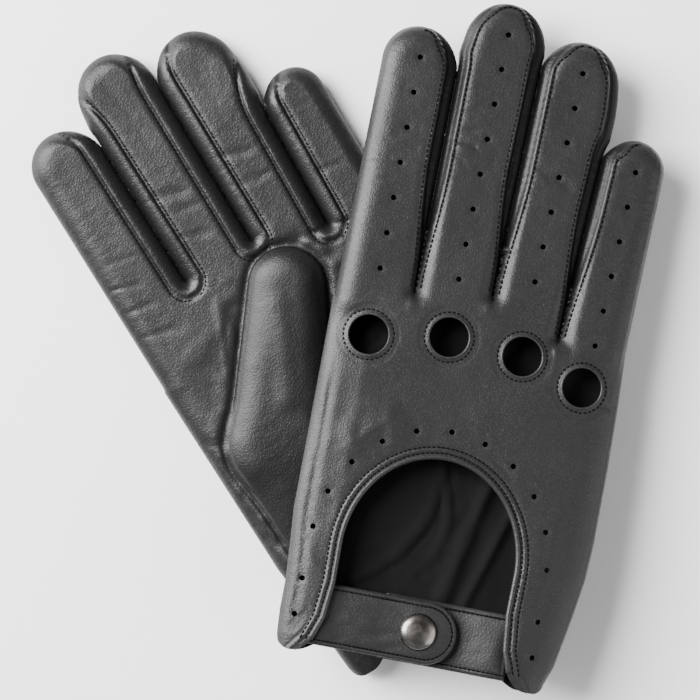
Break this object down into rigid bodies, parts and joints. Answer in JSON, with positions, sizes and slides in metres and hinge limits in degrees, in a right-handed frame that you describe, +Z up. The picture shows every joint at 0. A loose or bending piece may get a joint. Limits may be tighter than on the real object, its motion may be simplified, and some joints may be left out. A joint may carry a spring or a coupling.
{
  "type": "pair of leather driving gloves",
  "caption": "Pair of unlined leather driving gloves laid crosswise, with knuckle holes, punched fingers, keyhole backs and wrist straps closed by press studs.",
  "frame": {"origin": "centre of the bounding box of the pair at the height of the surface it lies on", "axes": "+Z up, away from the surface the pair lies on; +Y the way the fingers of both gloves point; +X to the right of someone looking down on the pair"},
  "size_m": [0.2165, 0.2333, 0.04],
  "materials": {
    "glove_leather": "soft hair-sheep nappa, dark charcoal, semi-matt with a fine grain; suede on the flesh side",
    "strap_leather": "the same nappa folded double and stitched along its edges",
    "facing_leather": "narrow strip of the same nappa, turned over the cut edge",
    "stud_metal": "dark antique nickel, satin with brighter wear on the dome"
  },
  "bodies": {
    "left_hand": {"left_back_panel": "glove_leather", "left_fourchette_index_middle": "glove_leather", "left_fourchette_middle_ring": "glove_leather", "left_fourchette_ring_little": "glove_leather", "left_knuckle_facings": "facing_leather", "left_opening_facing": "facing_leather", "left_palm_panel": "glove_leather", "left_snap_post": "stud_metal", "left_snap_stud": "stud_metal", "left_strap_anchor": "strap_leather", "left_strap_base": "strap_leather", "left_thumb": "glove_leather"},
    "left_index_tip": {"left_index_tip_back": "glove_leather", "left_index_tip_palm": "glove_leather", "left_index_tip_walls": "glove_leather"},
    "left_middle_tip": {"left_middle_tip_back": "glove_leather", "left_middle_tip_palm": "glove_leather", "left_middle_tip_walls": "glove_leather"},
    "left_ring_tip": {"left_ring_tip_back": "glove_leather", "left_ring_tip_palm": "glove_leather", "left_ring_tip_walls": "glove_leather"},
    "left_little_tip": {"left_little_tip_back": "glove_leather", "left_little_tip_palm": "glove_leather", "left_little_tip_walls": "glove_leather"},
    "left_strap": {"left_strap_tab": "strap_leather", "left_snap_cap": "stud_metal", "left_snap_socket": "stud_metal"},
    "left_thumb_tip": {"left_thumb_tip": "glove_leather"},
    "right_hand": {"right_back_panel": "glove_leather", "right_fourchette_index_middle": "glove_leather", "right_fourchette_middle_ring": "glove_leather", "right_fourchette_ring_little": "glove_leather", "right_knuckle_facings": "facing_leather", "right_opening_facing": "facing_leather", "right_palm_panel": "glove_leather", "right_snap_post": "stud_metal", "right_snap_stud": "stud_metal", "right_strap_anchor": "strap_leather", "right_strap_base": "strap_leather", "right_thumb": "glove_leather", "right_thumb_tip": "glove_leather"},
    "right_index_tip": {"right_index_tip_back": "glove_leather", "right_index_tip_palm": "glove_leather", "right_index_tip_walls": "glove_leather"},
    "right_middle_tip": {"right_middle_tip_back": "glove_leather", "right_middle_tip_palm": "glove_leather", "right_middle_tip_walls": "glove_leather"},
    "right_ring_tip": {"right_ring_tip_back": "glove_leather", "right_ring_tip_palm": "glove_leather", "right_ring_tip_walls": "glove_leather"},
    "right_little_tip": {"right_little_tip_back": "glove_leather", "right_little_tip_palm": "glove_leather", "right_little_tip_walls": "glove_leather"},
    "right_strap": {"right_strap_tab": "strap_leather", "right_snap_cap": "stud_metal", "right_snap_socket": "stud_metal"}
  },
  "joints": [
    {"name": "left_index_curl", "type": "hinge", "parent": "left_hand", "child": "left_index_tip", "pos_m": [-0.0822, 0.04021, 0.011], "axis": [0.8443, 0.5358, 0], "range_deg": [0, 80]},
    {"name": "left_middle_curl", "type": "hinge", "parent": "left_hand", "child": "left_middle_tip", "pos_m": [-0.05463, 0.04771, 0.011], "axis": [0.8517, 0.524, 0], "range_deg": [0, 80]},
    {"name": "left_ring_curl", "type": "hinge", "parent": "left_hand", "child": "left_ring_tip", "pos_m": [-0.02994, 0.05756, 0.011], "axis": [0.8652, 0.5015, 0], "range_deg": [0, 80]},
    {"name": "left_little_curl", "type": "hinge", "parent": "left_hand", "child": "left_little_tip", "pos_m": [-0.00462, 0.0636, 0.011], "axis": [0.8686, 0.4955, 0], "range_deg": [0, 80]},
    {"name": "left_strap_lift", "type": "hinge", "parent": "left_hand", "child": "left_strap", "pos_m": [0.01217, -0.09317, 0.0028], "axis": [-0.5373, 0.8434, 0], "range_deg": [0, 130]},
    {"name": "left_thumb_lift", "type": "hinge", "parent": "left_hand", "child": "left_thumb_tip", "pos_m": [-0.02211, 0.00788, 0.0178], "axis": [0.9317, -0.3633, 0], "range_deg": [0, 50]},
    {"name": "right_index_curl", "type": "hinge", "parent": "right_hand", "child": "right_index_tip", "pos_m": [0.01907, 0.07093, 0.01735], "axis": [-0.9785, 0.192, 0.0757], "range_deg": [0, 80]},
    {"name": "right_middle_curl", "type": "hinge", "parent": "right_hand", "child": "right_middle_tip", "pos_m": [0.04419, 0.05741, 0.01583], "axis": [-0.9758, 0.2056, 0.0748], "range_deg": [0, 80]},
    {"name": "right_ring_curl", "type": "hinge", "parent": "right_hand", "child": "right_ring_tip", "pos_m": [0.06884, 0.04758, 0.01417], "axis": [-0.9702, 0.2312, 0.073], "range_deg": [0, 80]},
    {"name": "right_little_curl", "type": "hinge", "parent": "right_hand", "child": "right_little_tip", "pos_m": [0.09134, 0.03456, 0.01286], "axis": [-0.9686, 0.2379, 0.0725], "range_deg": [0, 80]},
    {"name": "right_strap_lift", "type": "hinge", "parent": "right_hand", "child": "right_strap", "pos_m": [-0.00276, -0.09019, 0.03544], "axis": [-0.1856, -0.9805, 0.0645], "range_deg": [0, 130]},
    {"name": "right_glove_lift", "type": "slide", "parent": "left_hand", "child": "right_hand", "axis": [0, 0, 1], "range_m": [0, 0.15]}
  ]
}
